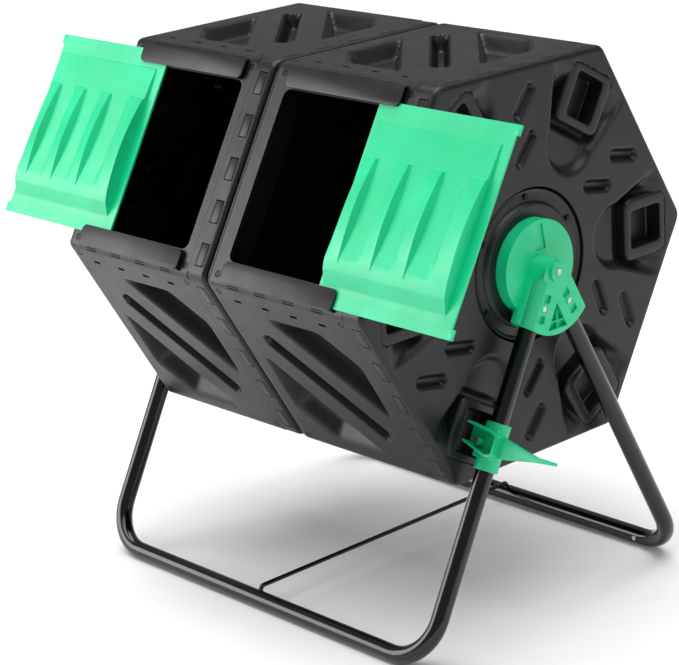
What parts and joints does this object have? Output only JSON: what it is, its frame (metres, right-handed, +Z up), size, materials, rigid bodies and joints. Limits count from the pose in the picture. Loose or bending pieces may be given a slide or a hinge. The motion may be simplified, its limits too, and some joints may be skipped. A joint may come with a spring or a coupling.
{
  "type": "compost tumbler",
  "caption": "Two-chamber hexagonal compost tumbler drum with sliding doors, turning on hub brackets over a bent-tube stand, with a lever lock.",
  "frame": {"origin": "on the floor under the middle of the drum", "axes": "+X along the drum axis towards the lever lock, -Y towards the doors, +Z up"},
  "size_m": [0.94, 0.6338, 0.7753],
  "materials": {
    "black_plastic": "satin moulded",
    "green_plastic": "smooth moulded",
    "black_tube": "gloss powder coat",
    "screw_steel": "zinc plated"
  },
  "bodies": {
    "stand": {"front_leg_frame": "black_tube", "rear_leg_frame": "black_tube", "tie_rod": "black_tube", "frame_buttons": "screw_steel", "left_hub_bracket": "green_plastic", "right_hub_bracket": "green_plastic", "leg_screws": "screw_steel", "hub_bolts": "screw_steel", "lock_collar": "green_plastic", "lock_pin": "screw_steel"},
    "drum": {"left_door_panel": "black_plastic", "left_top_panel": "black_plastic", "left_rear_upper_panel": "black_plastic", "left_rear_lower_panel": "black_plastic", "left_bottom_panel": "black_plastic", "left_front_lower_panel": "black_plastic", "right_door_panel": "black_plastic", "right_top_panel": "black_plastic", "right_rear_upper_panel": "black_plastic", "right_rear_lower_panel": "black_plastic", "right_bottom_panel": "black_plastic", "right_front_lower_panel": "black_plastic", "panel_screws": "screw_steel", "right_end_panel": "black_plastic", "left_end_panel": "black_plastic", "middle_divider": "black_plastic", "left_retaining_ring": "black_plastic", "right_retaining_ring": "black_plastic", "ring_screws": "screw_steel", "left_upper_rail": "black_plastic", "left_lower_rail": "black_plastic", "right_upper_rail": "black_plastic", "right_lower_rail": "black_plastic"},
    "lever": {"lock_lever": "green_plastic"},
    "door_left": {"left_door": "green_plastic"},
    "door_right": {"right_door": "green_plastic"}
  },
  "joints": [
    {"name": "drum_spin", "type": "hinge", "parent": "stand", "child": "drum", "pos_m": [0, 0, 0.5025], "axis": [1, 0, 0], "range_deg": [-170, 50]},
    {"name": "left_door_slide", "type": "slide", "parent": "drum", "child": "door_left", "axis": [-1, 0, 0], "range_m": [-0.18, 0.025]},
    {"name": "right_door_slide", "type": "slide", "parent": "drum", "child": "door_right", "axis": [1, 0, 0], "range_m": [-0.197, 0.025]},
    {"name": "lock_lever_turn", "type": "hinge", "parent": "stand", "child": "lever", "pos_m": [0.338, -0.11496, 0.28501], "axis": [0, -0.8841, 0.4673], "range_deg": [-45, 0]}
  ]
}
